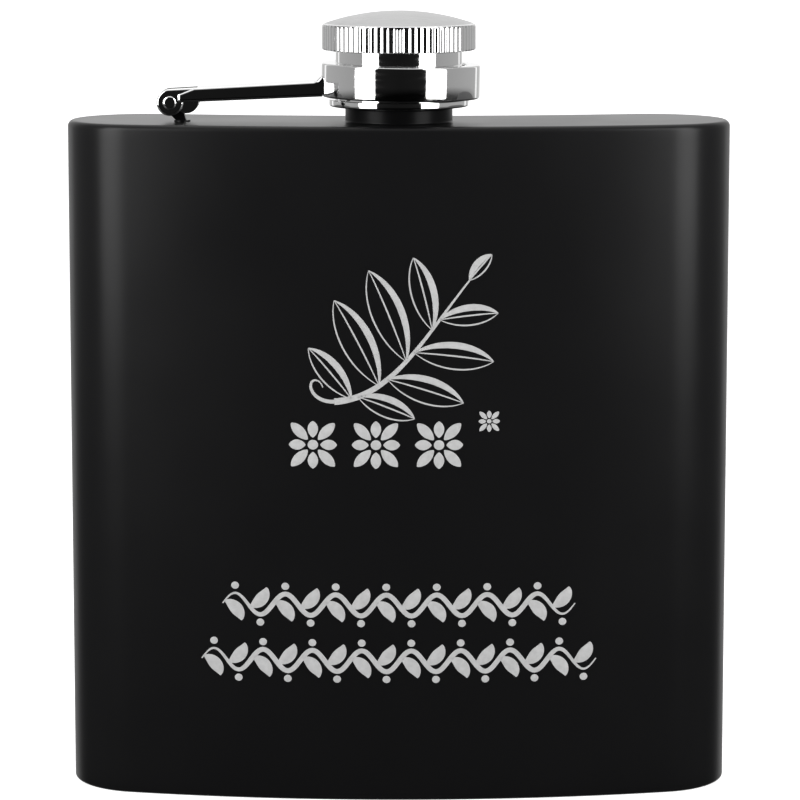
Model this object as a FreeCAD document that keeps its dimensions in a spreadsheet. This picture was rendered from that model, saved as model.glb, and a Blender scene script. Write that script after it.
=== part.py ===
"""Pocket hip flask with a captive screw cap, built as a parametric assembly.

The flask stands on its base with +Z up. The origin is on the floor, at the middle of the body's width and depth.
The convex front faces -Y and the concave back faces +Y. The neck, the cap, the captive ring and its arm share the
plane midway between front and back, and the hinge of the arm lies to the left of the neck, at negative x.
"""
import FreeCAD, Part
import Sketcher

import math
import os

App = FreeCAD
OUT = "parts"

# Driving dimensions in millimetres, apart from counts and angles.
SIZES = {
    # body: kidney section of two concentric arcs joined by full-round ends
    "body_width": 94.0,
    "body_height": 95.3,
    "body_thickness": 22.0,
    "front_radius": 175.0,
    "front_depth": 12.9,
    "wall": 0.6,
    "pan_height": 2.0,
    "shoulder_edge": 0.9,
    "base_edge": 0.5,
    "base_rim": 3.6,
    "base_recess": 0.3,
    # neck
    "collar_radius": 7.55,
    "collar_height": 2.0,
    "collar_flare": 0.3,
    "spout_radius": 6.45,
    "spout_bore": 5.6,
    "spout_height": 8.2,
    "spout_foot_radius": 8.6,
    "spout_lip": 0.35,
    "thread_depth": 0.42,
    "thread_pitch": 1.6,
    "thread_length": 3.2,
    "thread_start": 3.5,
    "thread_root_sink": 0.1,
    "thread_foot_width": 0.9,
    "thread_crest_width": 0.36,
    # cap, measured from the shoulder of the flask
    "cap_bottom": 2.2,
    "retainer_radius": 9.85,
    "retainer_height": 0.98,
    "retainer_edge": 0.25,
    "retainer_floor": 0.13,
    "retainer_lip": 0.2,
    "sleeve_radius": 8.95,
    "sleeve_bore": 7.85,
    "sleeve_thread": 0.4,
    "sleeve_flange": 9.75,
    "sleeve_flange_height": 0.8,
    "head_bottom": 10.05,
    "head_radius": 10.8,
    "head_height": 3.7,
    "head_lip": 0.5,
    "head_shell": 0.75,
    "head_bevel": 0.25,
    "dome_height": 1.78,
    "flute_radius": 0.27,
    "flute_count": 78.0,
    "seal_radius": 7.6,
    "seal_thickness": 1.0,
    # captive ring and arm
    "ring_bottom": 3.42,
    "ring_height": 4.75,
    "ring_radius": 11.2,
    "ring_bore": 9.3,
    "ring_edge": 0.3,
    "ring_tilt": 0.87,
    "ring_offset": 0.25,
    "arm_depth": 5.6,
    "arm_ring_bottom": 3.68,
    "arm_ring_top": 5.72,
    "arm_flare": 0.7,
    "arm_bend_x": 28.6,
    "arm_bend_top": 4.82,
    "arm_tip_x": 31.0,
    "arm_tip_bottom": 2.78,
    "arm_tip_top": 3.9,
    "arm_edge": 0.42,
    "seat_clearance": 0.06,
    "seat_margin": 1.0,
    # hinge
    "hinge_x": 32.1,
    "hinge_height": 2.75,
    "knuckle_radius": 1.87,
    "knuckle_depth": 4.6,
    "knuckle_edge": 0.3,
    "lobe_x": 29.8,
    "lobe_rise": 0.24,
    "lobe_radius": 1.75,
    "lobe_depth": 3.8,
    "fork_slot": 1.8,
    "fork_reach": 4.3,
    "pin_radius": 0.8,
    "pin_play": 0.05,
    "pin_head_radius": 0.95,
    "pin_head_height": 0.35,
    "pin_head_edge": 0.28,
    "lug_thickness": 1.6,
    "lug_head_radius": 1.5,
    "lug_stem_x": 30.5,
    "lug_stem_width": 1.3,
    "lug_stem_outer_x": 33.0,
    "lug_stem_outer_drop": 0.9,
    "lug_stem_inner_x": 30.75,
    "lug_stem_inner_rise": 0.3,
    "lug_foot_radius": 1.15,
    "lug_foot_height": 0.2,
    # gap between pieces that are fixed together, so that no two solids overlap
    "gap": 0.02,
}

doc = App.newDocument("HipFlask")
sheet = doc.addObject("Spreadsheet::Sheet", "Sizes")
for row, (alias, number) in enumerate(SIZES.items(), start=1):
    sheet.set(f"A{row}", alias)
    sheet.set(f"B{row}", str(number))
    sheet.setAlias(f"B{row}", alias)
doc.recompute()

ORIGIN = (-1, 1)
X_AXIS = -1
Y_AXIS = -2
SHOULDER = "Sizes.body_height"
NECK = "(Sizes.front_depth - Sizes.body_thickness / 2)"
SPOUT_HOLE = "(Sizes.spout_radius + Sizes.gap)"


def value(expression):
    """The number that an expression over the sheet's cells gives now."""
    result = sheet.evalExpression(expression)
    return float(getattr(result, "Value", result))


def new_body(label, on_neck_axis=False):
    """A PartDesign body. Pieces on the neck's axis are drawn about their own origin and placed there."""
    body = doc.addObject("PartDesign::Body", label)
    body.Label = label
    if on_neck_axis:
        body.setExpression("Placement.Base.y", "-" + NECK)
    return body


def new_sketch(body, role, name, height=None):
    """A sketch on one of the body's own origin planes, lifted along the plane's normal by an expression."""
    sketch = body.newObject("Sketcher::SketchObject", name)
    plane = [f for f in body.Origin.OriginFeatures if f.Role == role][0]
    sketch.AttachmentSupport = [(plane, "")]
    sketch.MapMode = "FlatFace"
    if height:
        sketch.setExpression("AttachmentOffset.Base.z", height)
    return sketch


def bind(sketch, expression, *constraint):
    """Adds a dimension to the sketch and ties it to an expression."""
    index = sketch.addConstraint(Sketcher.Constraint(*constraint, value(expression)))
    sketch.setExpression(f"Constraints[{index}]", expression)


def feature(body, kind, name, **properties):
    """Adds a PartDesign feature, sets its properties, and ties those given as text to the sheet."""
    made = body.newObject("PartDesign::" + kind, name)
    for key, setting in properties.items():
        if isinstance(setting, str) and setting.startswith("="):
            made.setExpression(key, setting[1:])
        else:
            setattr(made, key, setting)
    return made


def polygon(sketch, points, dome=None):
    """A closed outline of (x, y) expressions, all of them 0 or more.

    The edge numbered dome is an arc centred on x = 0.
    """
    corners = [App.Vector(value(x), value(y), 0) for x, y in points]
    count = len(corners)
    for i in range(count):
        start, end = corners[i], corners[(i + 1) % count]
        if i == dome:
            rise = abs(start.y - end.y)
            reach = max(start.x, end.x)
            radius = (reach * reach + rise * rise) / (2 * rise)
            centre = App.Vector(0, max(start.y, end.y) - radius, 0)
            angles = [math.atan2(p.y - centre.y, p.x - centre.x) for p in (start, end)]
            circle = Part.Circle(centre, App.Vector(0, 0, 1), radius)
            sketch.addGeometry(Part.ArcOfCircle(circle, min(angles), max(angles)), False)
        else:
            sketch.addGeometry(Part.LineSegment(start, end), False)
    for i in range(count):
        after = (i + 1) % count
        sketch.addConstraint(Sketcher.Constraint("Coincident", i, 2, after, 1))
    for i, (x, y) in enumerate(points):
        if corners[i].x < 1e-9:
            sketch.addConstraint(Sketcher.Constraint("PointOnObject", i, 1, Y_AXIS))
        else:
            bind(sketch, x, "DistanceX", *ORIGIN, i, 1)
        if corners[i].y < 1e-9:
            sketch.addConstraint(Sketcher.Constraint("PointOnObject", i, 1, X_AXIS))
        else:
            bind(sketch, y, "DistanceY", *ORIGIN, i, 1)
    if dome is not None:
        sketch.addConstraint(Sketcher.Constraint("PointOnObject", dome, 3, Y_AXIS))


def circle(sketch, radius, x="0", y="0"):
    """A circle at x, y expressions. A centre to the left of the origin is given as a negative expression."""
    centre = App.Vector(value(x), value(y), 0)
    index = sketch.addGeometry(Part.Circle(centre, App.Vector(0, 0, 1), value(radius)), False)
    bind(sketch, radius, "Radius", index)
    if abs(centre.x) < 1e-9:
        sketch.addConstraint(Sketcher.Constraint("PointOnObject", index, 3, Y_AXIS))
    else:
        bind(sketch, x, "DistanceX", *ORIGIN, index, 3)
    if abs(centre.y) < 1e-9:
        sketch.addConstraint(Sketcher.Constraint("PointOnObject", index, 3, X_AXIS))
    else:
        bind(sketch, y, "DistanceY", *ORIGIN, index, 3)


def revolved(body, name, points, dome=None, behind=None):
    """A ring or disc from (radius, height) expressions, turned about Z or about an upright axis at y = behind."""
    sketch = new_sketch(body, "XZ_Plane", name + "_profile", f"-({behind})" if behind else None)
    polygon(sketch, points, dome)
    turned = feature(body, "Revolution", name, Profile=sketch, Angle=360.0)
    turned.ReferenceAxis = (sketch, ["V_Axis"])
    return turned


def edges(made, test):
    """Names of the edges of a feature's shape that pass the test."""
    doc.recompute()
    found = [f"Edge{i}" for i, edge in enumerate(made.Shape.Edges, start=1) if test(edge)]
    if not found:
        raise RuntimeError(f"no edge found on {made.Name}")
    return found


def level(z):
    """A test for edges that lie flat at height z."""
    return lambda edge: abs(edge.BoundBox.ZMin - z) < 1e-4 and abs(edge.BoundBox.ZMax - z) < 1e-4


def rounded(body, made, name, radius, test):
    """Rounds the edges of a feature that pass the test."""
    return feature(body, "Fillet", name, Base=(made, edges(made, test)), Radius="=" + radius)


def kidney(sketch, inset):
    """The body's section, moved inwards by an expression: front arc, two round ends and back arc."""
    half_end = "(Sizes.body_thickness / 2)"
    end_x = f"(Sizes.body_width / 2 - {half_end})"
    front = f"(Sizes.front_radius - ({inset}))"
    back = f"(Sizes.front_radius - Sizes.body_thickness + ({inset}))"
    centre_y = "(Sizes.front_radius - Sizes.front_depth)"
    middle = value(f"Sizes.front_radius - {half_end}")
    angle = math.asin(value(end_x) / middle)
    centre = App.Vector(0, value(centre_y), 0)
    up = App.Vector(0, 0, 1)
    down = -math.pi / 2
    end_radius = value(f"{half_end} - ({inset})")
    right = centre + App.Vector(middle * math.sin(angle), -middle * math.cos(angle), 0)
    left = App.Vector(-right.x, right.y, 0)
    arcs = [
        Part.ArcOfCircle(Part.Circle(centre, up, value(front)), down - angle, down + angle),
        Part.ArcOfCircle(Part.Circle(right, up, end_radius), down + angle, down + angle + math.pi),
        Part.ArcOfCircle(Part.Circle(centre, up, value(back)), down - angle, down + angle),
        Part.ArcOfCircle(Part.Circle(left, up, end_radius), down - angle - math.pi, down - angle),
    ]
    front_arc, right_arc, back_arc, left_arc = (sketch.addGeometry(arc, False) for arc in arcs)
    for first, first_end, second, second_end in (
        (front_arc, 2, right_arc, 1),
        (right_arc, 2, back_arc, 2),
        (back_arc, 1, left_arc, 1),
        (left_arc, 2, front_arc, 1),
    ):
        sketch.addConstraint(Sketcher.Constraint("Tangent", first, first_end, second, second_end))
    sketch.addConstraint(Sketcher.Constraint("Coincident", front_arc, 3, back_arc, 3))
    sketch.addConstraint(Sketcher.Constraint("PointOnObject", front_arc, 3, Y_AXIS))
    bind(sketch, centre_y, "DistanceY", *ORIGIN, front_arc, 3)
    bind(sketch, front, "Radius", front_arc)
    bind(sketch, back, "Radius", back_arc)
    bind(sketch, end_x, "DistanceX", *ORIGIN, right_arc, 3)
    bind(sketch, end_x, "DistanceX", left_arc, 3, *ORIGIN)


def kidney_pad(body, name, inset, bottom, height):
    """A prism of the section from an expression's height upwards."""
    sketch = new_sketch(body, "XY_Plane", name + "_section", bottom)
    kidney(sketch, inset)
    return feature(body, "Pad", name, Profile=sketch, Length="=" + height)


def kidney_pocket(body, name, inset, start, depth, upwards):
    """Cuts a prism of the section, from an expression's height up or down."""
    sketch = new_sketch(body, "XY_Plane", name + "_section", start)
    kidney(sketch, inset)
    return feature(body, "Pocket", name, Profile=sketch, Length="=" + depth, Reversed=upwards)


# --- body: a wrapped shell between two pressed pans ---------------------------------------------------------------
def body_shell():
    body = new_body("body_shell")
    height = "Sizes.body_height - 2 * Sizes.pan_height"
    kidney_pad(body, "Wall", "0", "Sizes.pan_height", height)
    kidney_pocket(body, "Inside", "Sizes.wall", "Sizes.pan_height", height, True)


def shoulder_plate():
    body = new_body("shoulder_plate")
    bottom = f"{SHOULDER} - Sizes.pan_height"
    pan = kidney_pad(body, "Pan", "0", bottom, "Sizes.pan_height")
    top = value(SHOULDER)
    pan = rounded(body, pan, "Edge", "Sizes.shoulder_edge", level(top))
    kidney_pocket(body, "Inside", "Sizes.wall", bottom, "Sizes.pan_height - Sizes.wall", True)
    hole = new_sketch(body, "XY_Plane", "NeckHole_circle", bottom)
    circle(hole, SPOUT_HOLE, "0", "-" + NECK)
    feature(body, "Pocket", "NeckHole", Profile=hole, Length="=Sizes.pan_height", Reversed=True)
    outer = "Sizes.collar_radius"
    flare = "Sizes.collar_flare"
    top = f"{SHOULDER} + Sizes.collar_height"
    revolved(body, "Collar", [
        (SPOUT_HOLE, f"{SHOULDER} - Sizes.wall"),
        (f"{outer} + {flare}", f"{SHOULDER} - Sizes.wall"),
        (f"{outer} + {flare}", SHOULDER),
        (outer, f"{SHOULDER} + {flare}"),
        (outer, f"{top} - {flare} / 2"),
        (f"{outer} - {flare} / 2", top),
        (SPOUT_HOLE, top),
    ], behind="-" + NECK)


def base_plate():
    body = new_body("base_plate")
    pan = kidney_pad(body, "Pan", "0", "0", "Sizes.pan_height")
    rounded(body, pan, "Edge", "Sizes.base_edge", level(0.0))
    kidney_pocket(body, "Inside", "Sizes.wall", "Sizes.wall", "Sizes.pan_height - Sizes.wall", True)
    kidney_pad(body, "Panel", "Sizes.base_rim - Sizes.wall", "Sizes.wall", "Sizes.base_recess")
    kidney_pocket(body, "Recess", "Sizes.base_rim", "0", "Sizes.base_recess", True)


# --- neck: a threaded spout that stands in the collar -------------------------------------------------------------
def thread(body, name, root, depth, start, outwards):
    """A helical ridge of trapezium section that stands on a wall of the root radius."""
    towards, back = ("+", "-") if outwards else ("-", "+")
    sketch = new_sketch(body, "XZ_Plane", name + "_section")
    foot = f"{root} {back} Sizes.thread_root_sink"
    crest = f"{root} {towards} {depth}"
    half_foot = "Sizes.thread_foot_width / 2"
    half_crest = "Sizes.thread_crest_width / 2"
    points = [
        (foot, f"{start} - {half_foot}"),
        (crest, f"{start} - {half_crest}"),
        (crest, f"{start} + {half_crest}"),
        (foot, f"{start} + {half_foot}"),
    ]
    polygon(sketch, points if outwards else points[::-1])
    helix = feature(body, "AdditiveHelix", name, Profile=sketch)
    helix.ReferenceAxis = (sketch, ["V_Axis"])
    helix.Mode = 0
    helix.setExpression("Pitch", "Sizes.thread_pitch")
    helix.setExpression("Height", "Sizes.thread_length")
    return helix


def neck_spout():
    body = new_body("neck_spout", on_neck_axis=True)
    outer = "Sizes.spout_radius"
    bore = "Sizes.spout_bore"
    under = f"{SHOULDER} - Sizes.wall - Sizes.gap"
    top = f"{SHOULDER} + Sizes.spout_height"
    lip = "Sizes.spout_lip"
    revolved(body, "Spout", [
        (bore, f"{under} - Sizes.wall"),
        ("Sizes.spout_foot_radius", f"{under} - Sizes.wall"),
        ("Sizes.spout_foot_radius", under),
        (outer, under),
        (outer, f"{top} - {lip}"),
        (f"{outer} - {lip}", top),
        (bore, top),
    ])
    thread(body, "Thread", outer, "Sizes.thread_depth", f"{SHOULDER} + Sizes.thread_start", True)


# --- cap: knurled head, threaded sleeve, pressed-on retainer and seal ---------------------------------------------
def cap_sleeve():
    body = new_body("cap_sleeve", on_neck_axis=True)
    outer = "Sizes.sleeve_radius"
    bottom = f"{SHOULDER} + Sizes.cap_bottom + Sizes.retainer_floor + Sizes.gap"
    ceiling = f"{SHOULDER} + Sizes.spout_height + Sizes.seal_thickness + 3 * Sizes.gap"
    flange = f"{SHOULDER} + Sizes.head_bottom + Sizes.head_lip + Sizes.gap"
    top = f"{flange} + Sizes.sleeve_flange_height"
    revolved(body, "Sleeve", [
        ("Sizes.sleeve_bore", bottom),
        (outer, bottom),
        (outer, flange),
        ("Sizes.sleeve_flange", flange),
        ("Sizes.sleeve_flange", top),
        ("0", top),
        ("0", ceiling),
        ("Sizes.sleeve_bore", ceiling),
    ])
    start = f"{SHOULDER} + Sizes.thread_start + Sizes.thread_pitch / 2"
    thread(body, "Thread", "Sizes.sleeve_bore", "Sizes.sleeve_thread", start, False)


def cap_head():
    body = new_body("cap_head", on_neck_axis=True)
    bottom = f"{SHOULDER} + Sizes.head_bottom"
    rim = f"{bottom} + Sizes.head_height"
    bevel = "Sizes.head_bevel"
    shell = "Sizes.head_shell"
    hole = "Sizes.sleeve_radius + Sizes.gap"
    pocket = "Sizes.sleeve_flange + Sizes.gap"
    revolved(body, "Head", [
        (hole, bottom),
        (f"Sizes.head_radius - {bevel} / 2", bottom),
        ("Sizes.head_radius", f"{bottom} + {bevel} / 2"),
        ("Sizes.head_radius", f"{rim} - {bevel}"),
        (f"Sizes.head_radius - {bevel}", rim),
        ("0", f"{rim} + Sizes.dome_height"),
        ("0", f"{rim} + Sizes.dome_height - {shell}"),
        (pocket, f"{rim} - {shell}"),
        (pocket, f"{bottom} + Sizes.head_lip"),
        (hole, f"{bottom} + Sizes.head_lip"),
    ], dome=4)
    flute = new_sketch(body, "XY_Plane", "Flute_circle", bottom)
    circle(flute, "Sizes.flute_radius", "Sizes.head_radius + Sizes.flute_radius / 4")
    cut = feature(body, "Pocket", "Flute", Profile=flute, Reversed=True, Length="=Sizes.head_height")
    pattern = feature(body, "PolarPattern", "Flutes", Originals=[cut], Angle=360.0)
    pattern.Axis = (flute, ["N_Axis"])
    pattern.setExpression("Occurrences", "Sizes.flute_count")
    body.Tip = pattern


def cap_retainer():
    body = new_body("cap_retainer", on_neck_axis=True)
    bottom = f"{SHOULDER} + Sizes.cap_bottom"
    top = f"{bottom} + Sizes.retainer_height"
    step = f"{bottom} + Sizes.retainer_floor"
    inner = "Sizes.sleeve_bore + Sizes.retainer_lip"
    ring = revolved(body, "Retainer", [
        (inner, bottom),
        ("Sizes.retainer_radius", bottom),
        ("Sizes.retainer_radius", top),
        ("Sizes.sleeve_radius + Sizes.gap", top),
        ("Sizes.sleeve_radius + Sizes.gap", step),
        (inner, step),
    ])
    low = value(bottom)
    wide = value("Sizes.sleeve_radius")
    rounded(body, ring, "Edge", "Sizes.retainer_edge", lambda e: level(low)(e) and e.BoundBox.XMax > wide)


def cap_seal():
    seal = doc.addObject("Part::Cylinder", "cap_seal")
    seal.Label = "cap_seal"
    seal.setExpression("Radius", "Sizes.seal_radius")
    seal.setExpression("Height", "Sizes.seal_thickness")
    seal.setExpression("Placement.Base.y", "-" + NECK)
    seal.setExpression("Placement.Base.z", f"{SHOULDER} + Sizes.spout_height + 2 * Sizes.gap")


# --- captive ring, arm and hinge ----------------------------------------------------------------------------------
def captive_ring():
    """A plain ring drawn about its own centre. It hangs loose on the sleeve, so it sits to one side and tilts."""
    body = new_body("captive_ring", on_neck_axis=True)
    body.setExpression("Placement.Base.x", "Sizes.ring_offset")
    body.setExpression("Placement.Base.z", f"{SHOULDER} + Sizes.ring_bottom + Sizes.ring_height / 2")
    body.Placement.Rotation = App.Rotation(App.Vector(0, 1, 0), 1)
    body.setExpression("Placement.Rotation.Angle", "Sizes.ring_tilt")
    side = new_sketch(body, "XY_Plane", "Ring_circles", "-Sizes.ring_height / 2")
    circle(side, "Sizes.ring_radius")
    circle(side, "Sizes.ring_bore")
    ring = feature(body, "Pad", "Ring", Profile=side, Length="=Sizes.ring_height")
    half = value("Sizes.ring_height / 2")
    rounded(body, ring, "Edges", "Sizes.ring_edge", lambda e: level(half)(e) or level(-half)(e))


def swing_arm():
    """A bar that flares into the ring at one end and curls over a fork of two cheeks at the other.

    The cheeks hold the pin, and the end of the curl shows as a round lobe under the fork's root.
    """
    body = new_body("swing_arm", on_neck_axis=True)
    side = new_sketch(body, "XZ_Plane", "Bar_profile")
    ring_bottom = f"{SHOULDER} + Sizes.arm_ring_bottom"
    ring_top = f"{SHOULDER} + Sizes.arm_ring_top"
    pivot_z = f"{SHOULDER} + Sizes.hinge_height"
    flare_top = f"{ring_top} + Sizes.arm_flare"
    polygon_left(side, [
        ("Sizes.ring_bore", ring_bottom),
        ("Sizes.arm_tip_x", f"{SHOULDER} + Sizes.arm_tip_bottom"),
        ("Sizes.arm_tip_x", f"{SHOULDER} + Sizes.arm_tip_top"),
        ("Sizes.arm_bend_x", f"{SHOULDER} + Sizes.arm_bend_top"),
        ("Sizes.ring_radius + Sizes.arm_flare", ring_top),
        ("Sizes.ring_radius + Sizes.arm_flare / 3", f"{ring_top} + Sizes.arm_flare / 4"),
        ("Sizes.ring_radius - Sizes.ring_offset", flare_top),
        ("Sizes.ring_bore", flare_top),
    ])
    bar = feature(body, "Pad", "Bar", Profile=side, Length="=Sizes.arm_depth", Midplane=True)
    inside_ring = -value("Sizes.ring_bore") - value("Sizes.arm_flare")
    rounded(body, bar, "BarEdges", "Sizes.arm_edge", lambda e: e.BoundBox.XMin < inside_ring)
    curl = new_sketch(body, "XZ_Plane", "Curl_profile")
    polygon_left(curl, [
        ("Sizes.arm_bend_x", f"{SHOULDER} + Sizes.arm_tip_bottom"),
        ("Sizes.hinge_x", pivot_z),
        ("Sizes.hinge_x", f"{pivot_z} + Sizes.knuckle_radius"),
        ("Sizes.arm_bend_x", f"{SHOULDER} + Sizes.arm_bend_top"),
    ])
    feature(body, "Pad", "Curl", Profile=curl, Length="=Sizes.knuckle_depth", Midplane=True)
    for name, x, z in (
        ("Lobe", "-Sizes.lobe_x", f"{pivot_z} + Sizes.lobe_rise"),
        ("Knuckle", "-Sizes.hinge_x", pivot_z),
    ):
        disc = new_sketch(body, "XZ_Plane", name + "_circle")
        circle(disc, f"Sizes.{name.lower()}_radius", x, z)
        made = feature(body, "Pad", name, Profile=disc, Length=f"=Sizes.{name.lower()}_depth", Midplane=True)
    outer = value("Sizes.knuckle_depth / 2")
    beyond = -value("Sizes.hinge_x")
    rounded(body, made, "KnuckleEdges", "Sizes.knuckle_edge",
            lambda e: abs(abs(e.BoundBox.Center.y) - outer) < 1e-3 and e.BoundBox.XMin < beyond - 1)
    slot = new_sketch(body, "XZ_Plane", "Slot_profile")
    circle(slot, "Sizes.fork_reach", "-Sizes.hinge_x", pivot_z)
    feature(body, "Pocket", "Slot", Profile=slot, Length="=Sizes.fork_slot", Midplane=True)
    hole = new_sketch(body, "XZ_Plane", "PinHole_circle")
    circle(hole, "Sizes.pin_radius", "-Sizes.hinge_x", pivot_z)
    feature(body, "Pocket", "PinHole", Profile=hole, Length="=Sizes.arm_depth", Midplane=True)
    seat = new_sketch(body, "XY_Plane", "RingSeat_circle", f"{SHOULDER} + Sizes.ring_bottom - Sizes.seat_margin")
    circle(seat, "Sizes.ring_radius + Sizes.seat_clearance", "Sizes.ring_offset")
    feature(body, "Pocket", "RingSeat", Profile=seat, Length="=Sizes.ring_height + 2 * Sizes.seat_margin",
            Reversed=True)


def polygon_left(sketch, points):
    """A closed outline whose x expressions are distances to the left of the origin."""
    corners = [App.Vector(-value(x), value(y), 0) for x, y in points]
    count = len(corners)
    for i in range(count):
        sketch.addGeometry(Part.LineSegment(corners[i], corners[(i + 1) % count]), False)
    for i, (x, y) in enumerate(points):
        sketch.addConstraint(Sketcher.Constraint("Coincident", i, 2, (i + 1) % count, 1))
        bind(sketch, x, "DistanceX", i, 1, *ORIGIN)
        bind(sketch, y, "DistanceY", *ORIGIN, i, 1)


def hinge_lug():
    """A coated eye on a leaning stem, projection-welded to the shoulder by its round foot."""
    body = new_body("hinge_lug", on_neck_axis=True)
    depth = "=Sizes.lug_thickness"
    pivot_z = f"{SHOULDER} + Sizes.hinge_height"
    foot = new_sketch(body, "XY_Plane", "Foot_circle", SHOULDER)
    circle(foot, "Sizes.lug_foot_radius", "-Sizes.lug_stem_x")
    feature(body, "Pad", "Foot", Profile=foot, Length="=Sizes.lug_foot_height")
    stem = new_sketch(body, "XZ_Plane", "Stem_profile")
    half = "Sizes.lug_stem_width / 2"
    polygon_left(stem, [
        (f"Sizes.lug_stem_x - {half}", SHOULDER),
        (f"Sizes.lug_stem_x + {half}", SHOULDER),
        ("Sizes.lug_stem_outer_x", f"{pivot_z} - Sizes.lug_stem_outer_drop"),
        ("Sizes.lug_stem_inner_x", f"{pivot_z} + Sizes.lug_stem_inner_rise"),
    ])
    feature(body, "Pad", "Stem", Profile=stem, Length=depth, Midplane=True)
    eye = new_sketch(body, "XZ_Plane", "Eye_circle")
    circle(eye, "Sizes.lug_head_radius", "-Sizes.hinge_x", pivot_z)
    feature(body, "Pad", "Eye", Profile=eye, Length=depth, Midplane=True)
    bore = new_sketch(body, "XZ_Plane", "Bore_circle")
    circle(bore, "Sizes.pin_radius + Sizes.pin_play", "-Sizes.hinge_x", pivot_z)
    feature(body, "Pocket", "Bore", Profile=bore, Length="=2 * Sizes.lug_thickness", Midplane=True)


def hinge_pin():
    """A rivet through both cheeks, with a low head on each side."""
    body = new_body("hinge_pin", on_neck_axis=True)
    pivot_z = f"{SHOULDER} + Sizes.hinge_height"
    shank = new_sketch(body, "XZ_Plane", "Shank_circle")
    circle(shank, "Sizes.pin_radius", "-Sizes.hinge_x", pivot_z)
    feature(body, "Pad", "Shank", Profile=shank, Length="=Sizes.knuckle_depth + 2 * Sizes.gap", Midplane=True)
    for name, sign, flip in (("FrontHead", "", False), ("RearHead", "-", True)):
        face = f"{sign}(Sizes.knuckle_depth / 2 + Sizes.gap)"
        head = new_sketch(body, "XZ_Plane", name + "_circle", face)
        circle(head, "Sizes.pin_head_radius", "-Sizes.hinge_x", pivot_z)
        feature(body, "Pad", name, Profile=head, Length="=Sizes.pin_head_height", Reversed=flip)
    doc.recompute()
    outer = value("Sizes.knuckle_depth / 2 + Sizes.gap + Sizes.pin_head_height")
    rounded(body, body.Tip, "HeadEdges", "Sizes.pin_head_edge",
            lambda e: abs(abs(e.BoundBox.YMin) - outer) < 1e-3 and e.BoundBox.YLength < 1e-3)


def main():
    makers = [
        body_shell, shoulder_plate, base_plate, neck_spout, cap_sleeve, cap_head,
        cap_retainer, cap_seal, captive_ring, swing_arm, hinge_lug, hinge_pin,
    ]
    for make in makers:
        make()
    doc.recompute()
    broken = [o.Label for o in doc.Objects if {"Invalid", "Error"} & set(o.State)]
    if broken:
        raise RuntimeError(f"objects failed: {broken}")
    os.makedirs(OUT, exist_ok=True)
    for make in makers:
        piece = doc.getObject(make.__name__)
        shape = piece.Shape
        if shape.isNull() or not shape.isValid():
            raise RuntimeError(f"{piece.Label} has no valid shape")
        shape.exportStep(os.path.join(OUT, piece.Label + ".step"))
        print(f"{piece.Label}: {len(shape.Solids)} solid, {shape.Volume:.1f} mm3")


main()
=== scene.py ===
"""Visual model of a pocket hip flask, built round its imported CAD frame.

Everything is in metres, in the frame's axes: +Z up the neck, +X to the right and -Y out of the convex front.
Lengths written as a number times MM are millimetres, and so are the ornament's coordinates.
"""
import math
import random

import bmesh
import bpy
from mathutils import Matrix, Vector


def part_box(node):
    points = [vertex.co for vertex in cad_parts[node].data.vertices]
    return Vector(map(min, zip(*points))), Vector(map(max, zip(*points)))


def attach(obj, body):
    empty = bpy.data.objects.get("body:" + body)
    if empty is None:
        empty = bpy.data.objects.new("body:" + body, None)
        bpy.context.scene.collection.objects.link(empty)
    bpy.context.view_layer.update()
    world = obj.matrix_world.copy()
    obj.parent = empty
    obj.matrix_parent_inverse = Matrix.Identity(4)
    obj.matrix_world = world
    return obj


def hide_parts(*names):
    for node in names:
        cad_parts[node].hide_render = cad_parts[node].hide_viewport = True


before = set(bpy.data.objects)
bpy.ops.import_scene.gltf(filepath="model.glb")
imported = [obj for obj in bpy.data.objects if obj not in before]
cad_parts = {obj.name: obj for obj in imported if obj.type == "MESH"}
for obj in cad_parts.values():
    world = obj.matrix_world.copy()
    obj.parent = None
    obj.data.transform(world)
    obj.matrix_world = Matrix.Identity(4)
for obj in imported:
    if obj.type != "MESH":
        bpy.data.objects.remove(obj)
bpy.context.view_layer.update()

MM = 0.001

# --- sizes read from the frame ---
shell_low, shell_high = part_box("body_shell")
_, base_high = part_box("base_plate")
shoulder_low, shoulder_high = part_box("shoulder_plate")
head_low, head_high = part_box("cap_head")
ring_low, ring_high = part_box("captive_ring")
retainer_low, retainer_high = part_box("cap_retainer")
sleeve_low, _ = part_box("cap_sleeve")
lug_low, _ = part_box("hinge_lug")

HALF_WIDTH = shell_high.x
FRONT_Y = shell_low.y
NECK_Y = (head_low.y + head_high.y) / 2
SHOULDER_Z = lug_low.z
HEAD_RADIUS = head_high.x
RING_CENTRE = (ring_low + ring_high) / 2

# --- sizes that a box can't give ---
THICKNESS = 22.0 * MM
FRONT_RADIUS = 175.0 * MM
WALL = 0.6 * MM
SHOULDER_EDGE = 0.9 * MM
BASE_EDGE = 0.5 * MM
BASE_RIM = 3.6 * MM
BASE_RECESS = 0.3 * MM
COLLAR_RADIUS = 7.55 * MM
COLLAR_FLARE = 0.3 * MM
SPOUT_HOLE = 6.47 * MM
RING_RADIUS = 11.2 * MM
RING_BORE = 9.3 * MM
RING_HEIGHT = 4.75 * MM
RING_EDGE = 0.3 * MM
RING_TILT = math.radians(0.87)
SLEEVE_RADIUS = 8.95 * MM
SLEEVE_BORE = 7.85 * MM
FIT_GAP = 0.02 * MM
RETAINER_EDGE = 0.25 * MM
RETAINER_CORNER = 0.08 * MM
RETAINER_LIP = 0.2 * MM
HEAD_HEIGHT = 3.7 * MM
HEAD_BEVEL = 0.25 * MM
HEAD_SHELL = 0.75 * MM

# The coat's face lies this far inside the metal's outline, so that the etched ornament can stand on it.
COAT_INSET = 0.04 * MM
ETCH_RISE = 0.035 * MM
ETCH_SINK = 0.02 * MM

ARC_STEPS = 96
END_STEPS = 40
TURN_STEPS = 192


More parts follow.
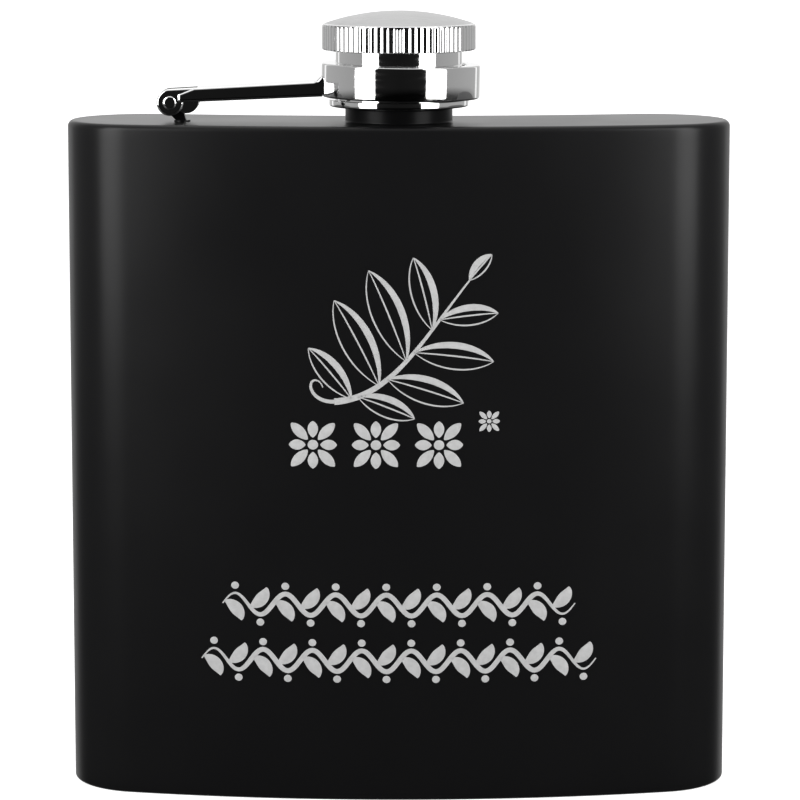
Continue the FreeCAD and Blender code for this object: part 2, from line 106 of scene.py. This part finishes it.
# --- mesh helpers ---
def make_object(name, bm, sharp_angle=35):
    """A smooth-shaded object from a bmesh, with edges sharper than the angle left crisp."""
    bmesh.ops.recalc_face_normals(bm, faces=bm.faces)
    mesh = bpy.data.meshes.new(name)
    bm.to_mesh(mesh)
    bm.free()
    mesh.polygons.foreach_set("use_smooth", [True] * len(mesh.polygons))
    mesh.set_sharp_from_angle(angle=math.radians(sharp_angle))
    made = bpy.data.objects.new(name, mesh)
    bpy.context.scene.collection.objects.link(made)
    return made


def loft(bm, rings, closed=False, cap_first=False, cap_last=False):
    """Skins a list of rings of points that all have the same count."""
    rows = [[bm.verts.new(point) for point in ring] for ring in rings]
    count = len(rows[0])
    pairs = list(zip(rows, rows[1:]))
    if closed:
        pairs.append((rows[-1], rows[0]))
    for low, high in pairs:
        for i in range(count):
            j = (i + 1) % count
            bm.faces.new((low[i], low[j], high[j], high[i]))
    if cap_first:
        bm.faces.new(rows[0][::-1])
    if cap_last:
        bm.faces.new(rows[-1])
    return rows


def quarter(start, end, steps, bulge_first):
    """Points of a quarter ellipse from start to end, both (offset, height).

    It leaves the start along the offset if bulge_first is true, and along the height if not.
    """
    points = []
    for i in range(steps + 1):
        turn = math.pi / 2 * i / steps
        first, second = math.sin(turn), 1 - math.cos(turn)
        if not bulge_first:
            first, second = second, first
        points.append((start[0] + (end[0] - start[0]) * first, start[1] + (end[1] - start[1]) * second))
    return points


def kidney(inset):
    """The body's section moved inwards: front arc, right end, back arc and left end, anticlockwise."""
    inset += COAT_INSET
    end = THICKNESS / 2
    centre_y = FRONT_Y + FRONT_RADIUS
    middle = FRONT_RADIUS - end
    swing = math.asin((HALF_WIDTH - end) / middle)
    points = []

    def arc(cx, cy, radius, first, last, steps):
        for i in range(steps):
            turn = first + (last - first) * i / steps
            points.append((cx + radius * math.cos(turn), cy + radius * math.sin(turn)))

    down = -math.pi / 2
    end_x, end_y = middle * math.sin(swing), centre_y - middle * math.cos(swing)
    arc(0, centre_y, FRONT_RADIUS - inset, down - swing, down + swing, ARC_STEPS)
    arc(end_x, end_y, end - inset, down + swing, down + swing + math.pi, END_STEPS)
    arc(0, centre_y, FRONT_RADIUS - THICKNESS + inset, down + swing, down - swing, ARC_STEPS)
    arc(-end_x, end_y, end - inset, down - swing - math.pi, down - swing, END_STEPS)
    return points


def kidney_ring(inset, z):
    return [Vector((x, y, z)) for x, y in kidney(inset)]


def neck_ring_facing_section(radius, z):
    """A ring round the neck whose points lie on the lines from the neck's axis to the section's points."""
    ring = []
    for x, y in kidney(0):
        away = Vector((x, y - NECK_Y)).normalized() * radius
        ring.append(Vector((away.x, NECK_Y + away.y, z)))
    return ring


def turned_ring(radius, z, centre_x):
    """A ring round the upright axis at centre_x in the neck's plane."""
    turns = [2 * math.pi * i / TURN_STEPS for i in range(TURN_STEPS)]
    return [
        Vector((centre_x + radius * math.cos(turn), NECK_Y + radius * math.sin(turn), z))
        for turn in turns
    ]


def turned(name, profile, centre_x):
    """A closed ring turned round an upright axis from (radius, z) points."""
    bm = bmesh.new()
    loft(bm, [turned_ring(radius, z, centre_x) for radius, z in profile], closed=True)
    return make_object(name, bm)


# --- body ---
SHOULDER_MARGIN = 0.4 * MM
COLLAR_MARGIN = 0.5 * MM


def build_shell():
    """The wrapped wall between the two pans."""
    bm = bmesh.new()
    stations = [(0, shell_low.z), (0, shell_high.z), (WALL, shell_high.z), (WALL, shell_low.z)]
    loft(bm, [kidney_ring(inset, z) for inset, z in stations], closed=True)
    return make_object("shell_skin", bm)


def build_shoulder():
    """The top pan with its rounded edge and the collar drawn up round the neck hole."""
    bm = bmesh.new()
    bottom, top = shoulder_low.z, SHOULDER_Z
    collar_top = shoulder_high.z
    rings = [kidney_ring(0, bottom)]
    edge = quarter((0, top - SHOULDER_EDGE), (SHOULDER_EDGE, top), 10, False)
    rings += [kidney_ring(inset, z) for inset, z in edge]
    rings.append(kidney_ring(SHOULDER_EDGE + SHOULDER_MARGIN, top))
    flare = COLLAR_FLARE
    collar = [(COLLAR_RADIUS + flare + COLLAR_MARGIN, top)]
    collar += quarter((COLLAR_RADIUS + flare, top), (COLLAR_RADIUS, top + flare), 5, True)
    lip = flare / 2
    collar += quarter((COLLAR_RADIUS, collar_top - lip), (COLLAR_RADIUS - lip, collar_top), 5, False)
    collar += [(SPOUT_HOLE, collar_top), (SPOUT_HOLE, top - WALL)]
    rings += [neck_ring_facing_section(radius, z) for radius, z in collar]
    rings += [kidney_ring(WALL, top - WALL), kidney_ring(WALL, bottom)]
    loft(bm, rings, closed=True)
    return make_object("shoulder_skin", bm)


def build_base():
    """The bottom pan: a raised rim round a recessed panel."""
    bm = bmesh.new()
    top = base_high.z
    stations = [(WALL, WALL + BASE_RECESS), (WALL, top), (0, top)]
    stations += quarter((0, BASE_EDGE), (BASE_EDGE, 0), 8, False)
    stations += quarter((BASE_RIM - BASE_RECESS, 0), (BASE_RIM, BASE_RECESS), 6, True)
    loft(bm, [kidney_ring(inset, z) for inset, z in stations], cap_first=True, cap_last=True)
    return make_object("base_skin", bm)


# --- etched ornament: leaves and vines of bare steel on the front face ---
# Across a ribbon: where its four lines lie, as shares of its width, and how high each stands off the coat.
RIBBON = ((-0.5, -ETCH_SINK), (-0.42, ETCH_RISE), (0.42, ETCH_RISE), (0.5, -ETCH_SINK))
FINE_TIP = 0.1
DOT_STEPS = 12
PETALS = 8
# Shares of a rosette's reach.
ROSETTE_HEART = 0.17
PETAL_FOOT = 0.24
PETAL_WIDTH = 0.36
SHORT_PETAL = 0.78
# Millimetres of a vine.
VINE_SWING = 1.5
VINE_STEM = 0.75
VINE_LEAF_WIDTH = 1.9
VINE_LEAF_TIP = (0.9, 3.9)
VINE_BUD_BELOW = 1.1
VINE_BUD_RADIUS = 0.55
VINE_STEPS = 24


def on_front(x, z, rise):
    """The point of the front face at x, z, lifted off the coat by rise."""
    radius = FRONT_RADIUS - COAT_INSET
    return Vector((x, FRONT_Y + FRONT_RADIUS - math.sqrt(radius ** 2 - x ** 2) - rise, z))


def bezier(controls, steps=28):
    """Points of the curve that a list of (x, z) control points draws."""
    curve = []
    for i in range(steps + 1):
        t = i / steps
        points = [Vector(p) for p in controls]
        while len(points) > 1:
            points = [a.lerp(b, t) for a, b in zip(points, points[1:])]
        curve.append(points[0])
    return curve


def stroke(bm, path, widths):
    """A flat ribbon with bevelled edges along a path of (x, z) points in millimetres."""
    rows = []
    last = len(path) - 1
    for i, (point, width) in enumerate(zip(path, widths)):
        ahead = (path[min(i + 1, last)] - path[max(i - 1, 0)]).normalized()
        side = Vector((-ahead.y, ahead.x))
        row = []
        for share, rise in RIBBON:
            place = (point + side * share * width) * MM
            row.append(bm.verts.new(on_front(place.x, place.y, rise)))
        rows.append(row)
    for low, high in zip(rows, rows[1:]):
        for i in range(len(RIBBON) - 1):
            bm.faces.new((low[i], low[i + 1], high[i + 1], high[i]))


def swelling(width, count):
    """Widths that grow from a fine tip to the middle and shrink back."""
    swell = [math.sin(math.pi * i / (count - 1)) ** 0.8 for i in range(count)]
    return [FINE_TIP + (width - FINE_TIP) * share for share in swell]


def thinning(start, end, count):
    """Widths that shrink evenly from start to end."""
    return [start + (end - start) * i / (count - 1) for i in range(count)]


def arched(root, tip, bulge):
    """A curve from root to tip that bulges to its left, or to its right if bulge is negative."""
    root, tip = Vector(root), Vector(tip)
    along = tip - root
    aside = Vector((-along.y, along.x)) * bulge
    return bezier([root, root + along * 0.3 + aside, root + along * 0.75 + aside, tip])


def open_leaf(bm, root, tip, bulge, bold=1.0, fine=0.25):
    """A leaf in outline, bold on one side and fine on the other, with a midrib."""
    for side, width in ((bulge, bold), (-bulge, fine), (bulge * 0.1, fine)):
        path = arched(root, tip, side)
        stroke(bm, path, swelling(width, len(path)))


def full_leaf(bm, root, tip, width, bulge):
    """A solid leaf, pointed at both ends."""
    path = arched(root, tip, bulge)
    stroke(bm, path, swelling(width, len(path)))


def dot(bm, x, z, radius):
    """A round spot, drawn as a ribbon as wide as the circle at each step."""
    turns = [math.pi * i / DOT_STEPS for i in range(DOT_STEPS + 1)]
    path = [Vector((x - radius * math.cos(turn), z)) for turn in turns]
    stroke(bm, path, [max(FINE_TIP / 2, 2 * radius * math.sin(turn)) for turn in turns])


def etched(name, draw):
    """An etched piece that rides the flask's body."""
    bm = bmesh.new()
    draw(bm)
    piece = make_object(name, bm)
    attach(piece, "root")
    return piece


def draw_sprig(bm):
    """A leafy sprig that sweeps up to the right, over the middle of the face."""
    stem = bezier([(-9.0, 57.0), (-1.0, 57.5), (3.5, 66.0), (9.8, 74.0)], 48)
    stroke(bm, stem, thinning(1.0, 0.25, len(stem)))
    # The step of the stem that each leaf grows from, and its tip.
    leaves = (
        (5, (-12.6, 64.5)), (7, (2.2, 54.6)), (14, (-9.0, 71.2)), (17, (9.0, 56.8)), (24, (-4.2, 75.4)),
        (27, (13.2, 62.6)), (34, (2.0, 77.2)), (37, (13.8, 69.4)), (48, (12.9, 77.6)),
    )
    for step, tip in leaves:
        side = -1 if tip[0] < stem[step].x else 1
        open_leaf(bm, stem[step], tip, 0.2 * side)
    tendril = bezier([(-9.0, 57.0), (-13.0, 56.8), (-13.4, 61.0), (-11.0, 60.6), (-10.6, 59.0)])
    stroke(bm, tendril, thinning(0.6, 0.15, len(tendril)))


def draw_rosettes(bm):
    """Three bold rosettes in a row and a small one, with pointed petals that are long and short in turn."""
    for x, z, reach in ((-12.0, 50.9, 4.3), (-3.2, 50.9, 4.3), (5.6, 50.9, 4.3), (12.6, 54.2, 1.9)):
        for i in range(PETALS):
            turn = 2 * math.pi * i / PETALS
            away = Vector((math.cos(turn), math.sin(turn)))
            length = reach if i % 2 else reach * SHORT_PETAL
            centre = Vector((x, z))
            foot = centre + away * reach * PETAL_FOOT
            full_leaf(bm, foot, centre + away * length, reach * PETAL_WIDTH, 0.0)
        dot(bm, x, z, reach * ROSETTE_HEART)


def draw_vine(bm, half_length, z, waves):
    """A waving stem with a bold leaf curling into each hollow."""
    steps = waves * VINE_STEPS

    def along(share):
        swing = VINE_SWING * math.sin(2 * math.pi * waves * share)
        return Vector((-half_length + 2 * half_length * share, z + swing))

    path = [along(i / steps) for i in range(steps + 1)]
    ends = [min(1.0, 0.25 + 6 * min(i, steps - i) / steps) for i in range(steps + 1)]
    stroke(bm, path, [VINE_STEM * end for end in ends])
    for i in range(2 * waves):
        up = -1 if i % 2 == 0 else 1
        root = along((i + 0.08) / (2 * waves))
        crest = along((i + 0.5) / (2 * waves))
        tip = crest + Vector((VINE_LEAF_TIP[0], up * VINE_LEAF_TIP[1]))
        full_leaf(bm, root, tip, VINE_LEAF_WIDTH, -0.2 * up)
        bud = crest - Vector((0, up * VINE_BUD_BELOW))
        dot(bm, bud.x, bud.y, VINE_BUD_RADIUS)


# --- cap ---
FLUTES = 78
FLUTE_SAMPLES = 12
FLUTE_DEPTH = 0.14 * MM
HEAD_FOOT = 0.5 * MM
KNURL_INSET = 0.25 * MM
DOME_STEPS = 16
SHARP_KNURL = 40
# The knurl's outline in millimetres: how far in from the head's radius, how far from the head's bottom
# or its rim, and how much of the dip shows there.
KNURL_BELOW = ((0.1, 0.05, 1), (0.0, 0.16, 1), (0.0, 0.26, 1))
KNURL_ABOVE = ((0.0, 0.55, 1), (0.0, 0.45, 1), (0.02, 0.26, 0.8), (0.05, 0.14, 0.35))
RIM_IN, RIM_DOWN = 0.08 * MM, 0.1 * MM


def flute_depths():
    """How far the knurl dips at each step round the head: rounded ridges, unevenly pressed."""
    rng = random.Random(7)
    depths = []
    for _ in range(FLUTES):
        deep = FLUTE_DEPTH * rng.uniform(0.7, 1.0)
        for i in range(FLUTE_SAMPLES):
            depths.append(deep * (0.5 - 0.5 * math.cos(2 * math.pi * i / FLUTE_SAMPLES)))
    return depths


def build_head():
    """The knurled shell with its domed top."""
    depths = flute_depths()
    steps = len(depths)
    bottom = head_low.z
    rim = bottom + HEAD_HEIGHT
    rise = head_high.z - rim
    dome_edge = HEAD_RADIUS - HEAD_BEVEL
    sphere = (dome_edge ** 2 + rise ** 2) / (2 * rise)

    def ring(radius, z, share):
        """A ring round the neck's axis that dips by a share of the knurl's depth."""
        points = []
        for i in range(steps):
            turn = 2 * math.pi * i / steps
            reach = radius - share * depths[i]
            points.append(Vector((reach * math.cos(turn), NECK_Y + reach * math.sin(turn), z)))
        return points

    inner = dome_edge - HEAD_SHELL
    bore = SLEEVE_RADIUS + FIT_GAP
    rings = [
        ring(inner, rim - HEAD_SHELL, 0),
        ring(inner, bottom + HEAD_FOOT, 0),
        ring(bore, bottom + HEAD_FOOT, 0),
        ring(bore, bottom, 0),
        ring(HEAD_RADIUS - FLUTE_DEPTH - KNURL_INSET, bottom, 0),
    ]
    for inset, up, share in KNURL_BELOW:
        rings.append(ring(HEAD_RADIUS - inset * MM, bottom + up * MM, share))
    for inset, down, share in KNURL_ABOVE:
        rings.append(ring(HEAD_RADIUS - inset * MM, rim - down * MM, share))
    for offset, z in quarter((HEAD_RADIUS - RIM_IN, rim - RIM_DOWN), (dome_edge, rim), 4, False):
        rings.append(ring(offset, z, 0))
    for i in range(1, DOME_STEPS):
        radius = dome_edge * (1 - i / DOME_STEPS)
        z = head_high.z - sphere + math.sqrt(sphere ** 2 - radius ** 2)
        rings.append(ring(radius, z, 0))
    bm = bmesh.new()
    rows = loft(bm, rings, cap_first=True)
    apex = bm.verts.new((0, NECK_Y, head_high.z))
    last = rows[-1]
    for i in range(steps):
        bm.faces.new((last[i], last[(i + 1) % steps], apex))
    return make_object("head_skin", bm, SHARP_KNURL)


def build_ring():
    """The captive ring, drawn upright about its own centre and then tilted as it hangs."""
    half = RING_HEIGHT / 2
    bottom, top = RING_CENTRE.z - half, RING_CENTRE.z + half
    edge = RING_EDGE
    profile = quarter((RING_RADIUS, top - edge), (RING_RADIUS - edge, top), 6, False)
    profile += quarter((RING_BORE + edge, top), (RING_BORE, top - edge), 6, True)
    profile += quarter((RING_BORE, bottom + edge), (RING_BORE + edge, bottom), 6, False)
    profile += quarter((RING_RADIUS - edge, bottom), (RING_RADIUS, bottom + edge), 6, True)
    ring = turned("ring_skin", profile, RING_CENTRE.x)
    tilt = Matrix.Rotation(RING_TILT, 4, "Y")
    ring.data.transform(Matrix.Translation(RING_CENTRE) @ tilt @ Matrix.Translation(-RING_CENTRE))
    return ring


def build_retainer():
    """The flange pressed on the foot of the cap's skirt."""
    bottom, top = retainer_low.z, retainer_high.z
    outer = retainer_high.x
    edge = RETAINER_CORNER
    inner = SLEEVE_BORE + RETAINER_LIP
    seat = SLEEVE_RADIUS + FIT_GAP
    step = sleeve_low.z - FIT_GAP
    profile = quarter((outer - RETAINER_EDGE, bottom), (outer, bottom + RETAINER_EDGE), 8, True)
    profile += quarter((outer, top - edge), (outer - edge, top), 4, False)
    profile += [(seat, top), (seat, step), (inner, step)]
    profile += quarter((inner, bottom + edge), (inner + edge, bottom), 4, False)
    return turned("retainer_skin", profile, 0.0)


# --- materials ---
def new_material(name):
    material = bpy.data.materials.new(name)
    material.use_nodes = True
    nodes = material.node_tree.nodes
    return material, nodes, material.node_tree.links, nodes["Principled BSDF"]


def add_node(nodes, kind, **settings):
    """A shader node with its attributes and its inputs, by name, set."""
    node = nodes.new(kind)
    for key, value in settings.items():
        if hasattr(node, key):
            setattr(node, key, value)
        else:
            node.inputs[key.replace("_", " ")].default_value = value
    return node


def object_coordinates(nodes, links, scale):
    """The object's own coordinates times a scale per axis, in waves per metre."""
    coordinates = nodes.new("ShaderNodeTexCoord")
    mapping = nodes.new("ShaderNodeMapping")
    mapping.inputs["Scale"].default_value = scale
    links.new(coordinates.outputs["Object"], mapping.inputs["Vector"])
    return mapping.outputs["Vector"]


def in_range(nodes, links, source, span, result=(0, 1)):
    """Maps a value from a span onto a result, and holds it there beyond the span's ends."""
    spread = nodes.new("ShaderNodeMapRange")
    spread.inputs["From Min"].default_value = span[0]
    spread.inputs["From Max"].default_value = span[1]
    spread.inputs["To Min"].default_value = result[0]
    spread.inputs["To Max"].default_value = result[1]
    links.new(source, spread.inputs["Value"])
    return spread.outputs["Result"]


def varied(nodes, links, source, low, high):
    """Maps a noise texture, which seldom leaves 0.3 to 0.7, onto a range."""
    return in_range(nodes, links, source, (0.3, 0.7), (low, high))


def height_in_object(nodes, links):
    """The Z of the object's own coordinates."""
    coordinates = nodes.new("ShaderNodeTexCoord")
    parts = nodes.new("ShaderNodeSeparateXYZ")
    links.new(coordinates.outputs["Object"], parts.inputs["Vector"])
    return parts.outputs["Z"]


def add_bump(nodes, links, source, shader, strength, distance):
    """Lets a texture roughen a shader's surface by a height in metres."""
    bump = add_node(nodes, "ShaderNodeBump", Strength=strength, Distance=distance)
    links.new(source, bump.inputs["Height"])
    links.new(bump.outputs["Normal"], shader.inputs["Normal"])


def powder_coat():
    """Fine-grained matte black coat, with painted shade on the collar under the cap: its reflection is
    turned down there.
    """
    material, nodes, links, shader = new_material("powder_coat")
    shader.inputs["Base Color"].default_value = (0.004, 0.004, 0.0043, 1)
    # Painted shade: the coat's reflection falls from 0.25 to 0.08 over the collar's foot and stays low above
    # it, so the collar under the cap shows darker.
    collar = (SHOULDER_Z, SHOULDER_Z + COLLAR_FLARE)
    gloss = in_range(nodes, links, height_in_object(nodes, links), collar, (0.25, 0.08))
    links.new(gloss, shader.inputs["Specular IOR Level"])
    grain = add_node(nodes, "ShaderNodeTexNoise", Scale=1.0, Detail=3.0)
    links.new(object_coordinates(nodes, links, (3500, 3500, 3500)), grain.inputs["Vector"])
    patches = add_node(nodes, "ShaderNodeTexNoise", Scale=1.0, Detail=2.0)
    links.new(object_coordinates(nodes, links, (60, 60, 60)), patches.inputs["Vector"])
    links.new(varied(nodes, links, patches.outputs["Fac"], 0.28, 0.33), shader.inputs["Roughness"])
    add_bump(nodes, links, grain.outputs["Fac"], shader, 0.25, 0.02 * MM)
    return material


def polished(name):
    """Mirror plate with faint waviness and wipe marks."""
    material, nodes, links, shader = new_material(name)
    shader.inputs["Base Color"].default_value = (0.9, 0.9, 0.9, 1)
    shader.inputs["Metallic"].default_value = 1.0
    marks = add_node(nodes, "ShaderNodeTexNoise", Scale=1.0, Detail=4.0)
    links.new(object_coordinates(nodes, links, (400, 400, 1800)), marks.inputs["Vector"])
    links.new(varied(nodes, links, marks.outputs["Fac"], 0.03, 0.09), shader.inputs["Roughness"])
    waves = add_node(nodes, "ShaderNodeTexNoise", Scale=1.0, Detail=1.0)
    links.new(object_coordinates(nodes, links, (300, 300, 300)), waves.inputs["Vector"])
    add_bump(nodes, links, waves.outputs["Fac"], shader, 0.2, 0.04 * MM)
    return material


def brush(nodes, links, shader, tint, along, roughness, strength, distance):
    """Makes a shader satin steel with fine lines. The texture's scale is small along the lines."""
    shader.inputs["Base Color"].default_value = (tint, tint, tint, 1)
    shader.inputs["Metallic"].default_value = 1.0
    lines = add_node(nodes, "ShaderNodeTexNoise", Scale=1.0, Detail=3.0)
    links.new(object_coordinates(nodes, links, along), lines.inputs["Vector"])
    links.new(varied(nodes, links, lines.outputs["Fac"], *roughness), shader.inputs["Roughness"])
    add_bump(nodes, links, lines.outputs["Fac"], shader, strength, distance)


def turned_steel():
    """Satin steel with the fine rings that a lathe leaves."""
    material, nodes, links, shader = new_material("satin_steel")
    brush(nodes, links, shader, 0.72, (300, 300, 6000), (0.24, 0.38), 0.35, 0.02 * MM)
    return material


def knurled_head():
    """Polished plate on the knurl and a brushed satin dome above its bright rim."""
    material = polished("polished_knurl")
    nodes, links = material.node_tree.nodes, material.node_tree.links
    plate = nodes["Principled BSDF"]
    satin = nodes.new("ShaderNodeBsdfPrincipled")
    brush(nodes, links, satin, 0.53, (60, 2500, 2500), (0.26, 0.42), 0.4, 0.03 * MM)
    rim = head_low.z + HEAD_HEIGHT
    edge_of_dome = (rim + 0.02 * MM, rim + 0.06 * MM)
    mix = nodes.new("ShaderNodeMixShader")
    links.new(in_range(nodes, links, height_in_object(nodes, links), edge_of_dome), mix.inputs["Fac"])
    links.new(plate.outputs["BSDF"], mix.inputs[1])
    links.new(satin.outputs["BSDF"], mix.inputs[2])
    links.new(mix.outputs["Shader"], nodes["Material Output"].inputs["Surface"])
    return material


def etched_steel():
    """Bare steel left pale and dull by the etching."""
    material, nodes, links, shader = new_material("etched_steel")
    shader.inputs["Metallic"].default_value = 0.25
    shader.inputs["Roughness"].default_value = 0.6
    grain = add_node(nodes, "ShaderNodeTexNoise", Scale=1.0, Detail=2.0)
    links.new(object_coordinates(nodes, links, (1200, 1200, 1200)), grain.inputs["Vector"])
    shade = varied(nodes, links, grain.outputs["Fac"], 0.38, 0.44)
    links.new(shade, shader.inputs["Base Color"])
    return material


def silicone():
    """Milky rubber of the seal."""
    material, nodes, links, shader = new_material("silicone")
    shader.inputs["Base Color"].default_value = (0.78, 0.77, 0.73, 1)
    shader.inputs["Subsurface Weight"].default_value = 0.2
    shader.inputs["Subsurface Scale"].default_value = 0.001
    mottle = add_node(nodes, "ShaderNodeTexNoise", Scale=1.0, Detail=2.0)
    links.new(object_coordinates(nodes, links, (500, 500, 500)), mottle.inputs["Vector"])
    links.new(varied(nodes, links, mottle.outputs["Fac"], 0.4, 0.55), shader.inputs["Roughness"])
    return material


def paint(thing, material):
    """Gives a thing one material only."""
    thing.data.materials.clear()
    thing.data.materials.append(material)


# --- put together ---
coat = powder_coat()
chrome = polished("polished_plate")
steel = turned_steel()
rubber = silicone()

for build, node, body, finish, slot in (
    (build_shell, "body_shell", "root", coat, "powder_coat"),
    (build_shoulder, "shoulder_plate", "root", coat, "powder_coat"),
    (build_base, "base_plate", "root", coat, "powder_coat"),
    (build_head, "cap_head", "cap", knurled_head(), "polished_steel"),
    (build_retainer, "cap_retainer", "cap", chrome, "polished_steel"),
    (build_ring, "captive_ring", "arm", chrome, "polished_steel"),
):
    piece = build()
    paint(piece, finish)
    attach(piece, body)
    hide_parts(node)

etch = etched_steel()
for name, draw in (
    ("sprig", draw_sprig),
    ("rosettes", draw_rosettes),
    ("upper_vine", lambda bm: draw_vine(bm, 24.8, 28.1, 7)),
    ("lower_vine", lambda bm: draw_vine(bm, 27.8, 20.1, 8)),
):
    paint(etched(name, draw), etch)

for node, finish in (
    ("neck_spout", steel), ("cap_sleeve", chrome), ("cap_seal", rubber), ("swing_arm", chrome),
    ("hinge_lug", coat), ("hinge_pin", chrome),
):
    paint(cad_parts[node], finish)


# --- studio ---
FLOOR_RADIUS = 3.0
FLOOR_HEART = 0.1
SOFT_BOX_LEVEL = 5.0
SOFT_BOX_TURN = 52
SOFT_BOX_DISTANCE = 0.30
SOFT_BOX_WIDTH = 0.165
SOFT_BOX_FOOT = 0.045
SOFT_BOX_TOP = 0.40


def build_floor():
    """A white lit table. It doesn't show in the polished pieces, which mirror the studio's walls."""
    turns = [math.radians(degrees) for degrees in range(0, 360, 5)]
    bm = bmesh.new()
    rows = []
    for radius in (FLOOR_RADIUS, FLOOR_HEART):
        rows.append([Vector((radius * math.cos(turn), radius * math.sin(turn), 0)) for turn in turns])
    loft(bm, rows, cap_last=True)
    floor = make_object("floor", bm)
    material, _, _, shader = new_material("floor")
    shader.inputs["Base Color"].default_value = (0.93, 0.93, 0.93, 1)
    shader.inputs["Roughness"].default_value = 0.7
    shader.inputs["Emission Color"].default_value = (1, 1, 1, 1)
    shader.inputs["Emission Strength"].default_value = 0.7
    paint(floor, material)
    floor.visible_glossy = False


def build_soft_boxes():
    """Two tall soft boxes ahead to the left and right, that stand clear of the floor."""
    for side in (-1, 1):
        data = bpy.data.lights.new("soft_box", "AREA")
        data.shape = "RECTANGLE"
        data.size = SOFT_BOX_WIDTH
        data.size_y = SOFT_BOX_TOP - SOFT_BOX_FOOT
        data.energy = SOFT_BOX_LEVEL * math.pi * data.size * data.size_y
        lamp = bpy.data.objects.new("soft_box", data)
        bpy.context.scene.collection.objects.link(lamp)
        turn = math.radians(SOFT_BOX_TURN)
        lamp.location = (
            side * SOFT_BOX_DISTANCE * math.sin(turn),
            -SOFT_BOX_DISTANCE * math.cos(turn),
            (SOFT_BOX_TOP + SOFT_BOX_FOOT) / 2,
        )
        lamp.rotation_euler = (math.pi / 2, 0, side * turn)
        lamp.visible_camera = False


def shader_tools(nodes, links):
    """Short calls that add a maths node or a grey ramp, and give back its output."""

    def maths(operation, *values):
        """A maths node on outputs or plain numbers."""
        node = nodes.new("ShaderNodeMath")
        node.operation = operation
        for socket, value in zip(node.inputs, values):
            if isinstance(value, (int, float)):
                socket.default_value = value
            else:
                links.new(value, socket)
        return node.outputs["Value"]

    def ramp(source, stops):
        """A grey ramp through (position, level) stops."""
        node = nodes.new("ShaderNodeValToRGB")
        elements = node.color_ramp.elements
        elements[0].position = stops[0][0]
        elements[1].position = stops[-1][0]
        for position, _ in stops[1:-1]:
            elements.new(position)
        for element, (position, level) in zip(elements, stops):
            element.position = position
            element.color = (level, level, level, 1)
        links.new(source, node.inputs["Fac"])
        return node.outputs["Color"]

    return maths, ramp


def build_world():
    """The studio's walls, as the polished pieces mirror them. The camera itself sees plain white.

    They are dark ahead, grey at the sides and bright behind, and they fade towards the floor.
    """
    world = bpy.data.worlds.new("studio")
    bpy.context.scene.world = world
    world.use_nodes = True
    nodes, links = world.node_tree.nodes, world.node_tree.links
    maths, ramp = shader_tools(nodes, links)
    coordinates = nodes.new("ShaderNodeTexCoord")
    direction = nodes.new("ShaderNodeSeparateXYZ")
    links.new(coordinates.outputs["Generated"], direction.inputs["Vector"])
    x, y, z = (direction.outputs[axis] for axis in "XYZ")
    across = maths("ABSOLUTE", x)
    turn = maths("ARCTAN2", across, maths("MULTIPLY", y, -1.0))
    around = maths("DIVIDE", turn, math.pi)
    rise = maths("DIVIDE", maths("ARCSINE", z), math.pi / 2)
    height = maths("MULTIPLY_ADD", rise, 0.5, 0.5)

    def at(degrees):
        """Where the ramps round the flask stand, that many degrees away from straight ahead."""
        return degrees / 180

    def up(degrees):
        """Where the ramps in height stand, that many degrees above the horizon."""
        return degrees / 180 + 0.5

    walls = ramp(around, (
        (0.0, 0.008), (at(66), 0.012), (at(70), 0.34), (at(120), 0.40), (at(137), 0.42),
        (at(138), 1.0), (at(144), 1.0), (at(145), 0.45), (at(158), 0.6), (at(166), 1.0), (1.0, 1.0),
    ))
    fade = ramp(height, ((0.0, 0.1), (up(-9), 0.1), (up(-5.5), 1.0), (1.0, 1.0)))
    ahead = ramp(around, ((0.0, 1.0), (at(120), 1.0), (at(150), 0.0), (1.0, 0.0)))
    kept = maths("MULTIPLY_ADD", maths("SUBTRACT", fade, 1.0), ahead, 1.0)
    top = ramp(height, ((0.0, 0.0), (up(45), 0.0), (up(60), 0.7), (1.0, 0.7)))
    studio = maths("ADD", maths("MULTIPLY", walls, kept), top)
    seen = nodes.new("ShaderNodeLightPath")
    plain = nodes.new("ShaderNodeMix")
    plain.data_type = "FLOAT"
    plain.inputs["B"].default_value = 1.0
    links.new(seen.outputs["Is Camera Ray"], plain.inputs["Factor"])
    links.new(studio, plain.inputs["A"])
    background = nodes["Background"]
    links.new(plain.outputs["Result"], background.inputs["Color"])
    background.inputs["Strength"].default_value = 1.0


CAMERA_PLACE = (0, -0.505, 0.134)
CAMERA_PITCH = 7.58
CAMERA_LENS = 161.0
SENSOR_WIDTH = 36


def build_camera():
    """A long lens ahead of the flask and a little above it."""
    data = bpy.data.cameras.new("camera")
    camera = bpy.data.objects.new("camera", data)
    bpy.context.scene.collection.objects.link(camera)
    camera.location = CAMERA_PLACE
    camera.rotation_euler = (math.radians(90 - CAMERA_PITCH), 0, 0)
    data.sensor_width = SENSOR_WIDTH
    data.lens = CAMERA_LENS
    data.shift_x = 0.0014
    data.shift_y = -0.10
    data.clip_start = 0.01
    bpy.context.scene.camera = camera


build_floor()
build_soft_boxes()
build_world()
build_camera()
bpy.context.scene.view_settings.view_transform = "Standard"
